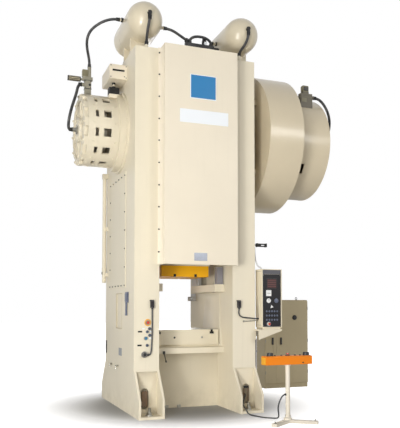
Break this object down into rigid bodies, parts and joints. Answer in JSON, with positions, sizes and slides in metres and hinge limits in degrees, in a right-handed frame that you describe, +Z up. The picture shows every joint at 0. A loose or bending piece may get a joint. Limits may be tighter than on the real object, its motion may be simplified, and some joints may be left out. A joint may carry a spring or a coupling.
{
  "type": "forging press",
  "caption": "Straight-side forging press with eccentric drive, guarded flywheel and clutch, drum brake, crown air tanks, console, two-hand stand and cabinet.",
  "frame": {"origin": "on the floor, in the middle of the rectangle of the four anchor bolts", "axes": "+Z up, +X to the right of an operator who stands in front, -Y towards that operator"},
  "size_m": [5.4582, 4.4605, 6.743],
  "materials": {
    "frame_paint": "cream enamel, satin",
    "cover_paint": "cream enamel, satin",
    "drive_paint": "cream enamel on a casting, satin",
    "guard_paint": "cream enamel on sheet, satin",
    "tank_paint": "cream enamel, glossy",
    "cabinet_paint": "grey-brown enamel, satin",
    "console_paint": "dark grey enamel, satin",
    "grey_paint": "grey enamel, satin",
    "stand_paint": "off-white enamel, satin",
    "orange_paint": "orange enamel, satin",
    "machined_steel": "machined",
    "dark_steel": "blackened",
    "cast_iron": "machined casting",
    "bronze": "machined",
    "belt_rubber": "rubber on cord",
    "hose_rubber": "smooth black rubber",
    "black_plastic": "moulded",
    "red_plastic": "moulded",
    "blue_plastic": "moulded"
  },
  "bodies": {
    "press": {"press_frame": "frame_paint", "side_rails": "machined_steel", "front_cover": "cover_paint", "rear_cover": "cover_paint", "left_side_cover": "frame_paint", "oil_pipe": "frame_paint", "shaft_bushes": "bronze", "slide_gibs": "bronze", "balance_cylinders": "grey_paint", "bolster": "machined_steel", "brake_housing": "drive_paint", "brake_end_ring": "drive_paint", "brake_union": "machined_steel", "brake_valve": "grey_paint", "cam_switch_box": "cover_paint", "flywheel_hub": "cast_iron", "drive_belts": "belt_rubber", "main_motor": "grey_paint", "flywheel_guard": "guard_paint", "clutch_guard": "guard_paint", "clutch_valve": "black_plastic", "left_air_tank": "tank_paint", "right_air_tank": "tank_paint", "air_regulator": "dark_steel", "console_bracket": "frame_paint", "console_box": "console_paint", "control_cabinet": "cabinet_paint", "stand_column": "stand_paint", "stand_box": "orange_paint", "column_fittings": "black_plastic", "left_dome_hose": "hose_rubber", "right_dome_hose": "hose_rubber", "brake_feed_hose": "hose_rubber", "brake_hose": "hose_rubber", "left_tank_hose": "hose_rubber", "crown_hose": "hose_rubber", "clutch_hose": "hose_rubber", "stand_cable": "hose_rubber", "left_sensor_cable": "hose_rubber", "right_sensor_cable": "hose_rubber"},
    "crank": {"crankshaft": "machined_steel", "brake_disc": "cast_iron", "clutch_drum": "cast_iron"},
    "eccentric": {"eccentric_bush": "bronze"},
    "slide_group": {"slide": "grey_paint", "slide_plate": "orange_paint", "connecting_rod": "cast_iron", "balance_rods": "machined_steel"},
    "flywheel": {"flywheel": "cast_iron"},
    "motor_pulley": {"motor_pulley": "cast_iron"},
    "ejector": {"ejector_pin": "machined_steel"},
    "left_door": {"cabinet_left_door": "cabinet_paint"},
    "right_door": {"cabinet_right_door": "cabinet_paint"},
    "main_switch": {"cabinet_switch": "black_plastic"},
    "left_palm": {"left_palm_button": "black_plastic"},
    "right_palm": {"right_palm_button": "black_plastic"},
    "stand_stop": {"stand_estop": "red_plastic"},
    "column_stop": {"column_estop": "red_plastic"},
    "column_start": {"column_button": "blue_plastic"},
    "console_stop": {"console_estop": "red_plastic"}
  },
  "joints": [
    {"name": "crank_spin", "type": "hinge", "parent": "press", "child": "crank", "pos_m": [0, 0, 4.764], "axis": [1, 0, 0], "continuous": true},
    {"name": "bush_turn", "type": "hinge", "parent": "crank", "child": "eccentric", "pos_m": [0, 0, 4.839], "axis": [1, 0, 0], "continuous": true},
    {"name": "slide_travel", "type": "hinge", "parent": "eccentric", "child": "slide_group", "pos_m": [0, 0, 4.914], "axis": [1, 0, 0], "continuous": true},
    {"name": "flywheel_spin", "type": "hinge", "parent": "press", "child": "flywheel", "pos_m": [0, 0, 4.764], "axis": [1, 0, 0], "continuous": true},
    {"name": "pulley_spin", "type": "hinge", "parent": "press", "child": "motor_pulley", "pos_m": [0, 1.49, 4.764], "axis": [1, 0, 0], "continuous": true},
    {"name": "ejector_lift", "type": "slide", "parent": "press", "child": "ejector", "axis": [0, 0, 1], "range_m": [0, 0.06]},
    {"name": "left_door_swing", "type": "hinge", "parent": "press", "child": "left_door", "pos_m": [2.443, 1.3917, 0.97], "axis": [0, 0, 1], "range_deg": [-110, 0]},
    {"name": "right_door_swing", "type": "hinge", "parent": "press", "child": "right_door", "pos_m": [3.467, 1.3917, 0.97], "axis": [0, 0, 1], "range_deg": [0, 110]},
    {"name": "main_switch_turn", "type": "hinge", "parent": "right_door", "child": "main_switch", "pos_m": [3.142, 1.38, 1.5], "axis": [0, 1, 0], "range_deg": [0, 90]},
    {"name": "left_palm_press", "type": "slide", "parent": "press", "child": "left_palm", "axis": [0, 0, -1], "range_m": [0, 0.006], "stiffness_N_per_m": 1500, "springref_m": -0.004},
    {"name": "right_palm_press", "type": "slide", "parent": "press", "child": "right_palm", "axis": [0, 0, -1], "range_m": [0, 0.006], "stiffness_N_per_m": 1500, "springref_m": -0.004},
    {"name": "stand_stop_press", "type": "slide", "parent": "press", "child": "stand_stop", "axis": [0, 0, -1], "range_m": [0, 0.005]},
    {"name": "column_stop_press", "type": "slide", "parent": "press", "child": "column_stop", "axis": [0, 1, 0], "range_m": [0, 0.005]},
    {"name": "column_start_press", "type": "slide", "parent": "press", "child": "column_start", "axis": [0, 1, 0], "range_m": [0, 0.005], "stiffness_N_per_m": 800, "springref_m": -0.003},
    {"name": "console_stop_press", "type": "slide", "parent": "press", "child": "console_stop", "axis": [0, 1, 0], "range_m": [0, 0.005]}
  ],
  "couplings": [
    {"joint": "bush_turn", "follows": "crank_spin", "ratio": -2},
    {"joint": "slide_travel", "follows": "crank_spin", "ratio": 1},
    {"joint": "pulley_spin", "follows": "flywheel_spin", "ratio": 7.3245}
  ]
}
